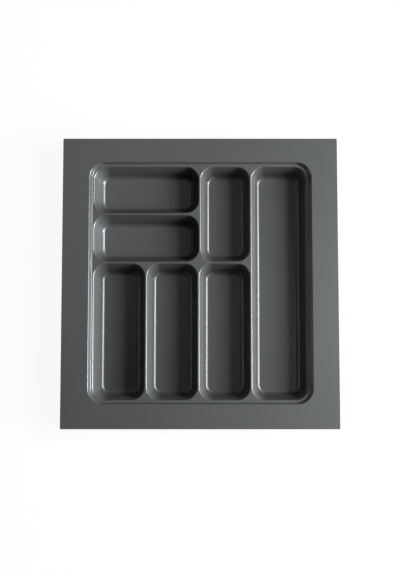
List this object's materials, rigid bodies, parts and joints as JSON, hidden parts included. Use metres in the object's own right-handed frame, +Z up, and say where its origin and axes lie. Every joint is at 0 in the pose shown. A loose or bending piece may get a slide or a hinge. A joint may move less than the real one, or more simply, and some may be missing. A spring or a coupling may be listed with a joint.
{
  "type": "cutlery tray",
  "caption": "Formed plastic drawer insert for cutlery: a flat rim that is cut to fit, a shallow recess and tapered compartments with rounded corners, some lengthwise and some crosswise.",
  "frame": {"origin": "below the middle of the tray, level with the undersides of the floors that it stands on", "axes": "+X to the right of someone who opens the drawer, +Y to the back of the drawer, +Z up"},
  "size_m": [0.4654, 0.4908, 0.048],
  "materials": {
    "sheet": "anthracite polystyrene sheet, vacuum formed, satin with a fine grain"
  },
  "bodies": {
    "root": {"rim_panel": "sheet", "recess_wall": "sheet", "divider_deck": "sheet", "front_compartment_left": "sheet", "front_compartment_middle": "sheet", "front_compartment_right": "sheet", "long_compartment": "sheet", "short_compartment": "sheet", "crosswise_compartment_front": "sheet", "crosswise_compartment_back": "sheet"}
  },
  "joints": []
}
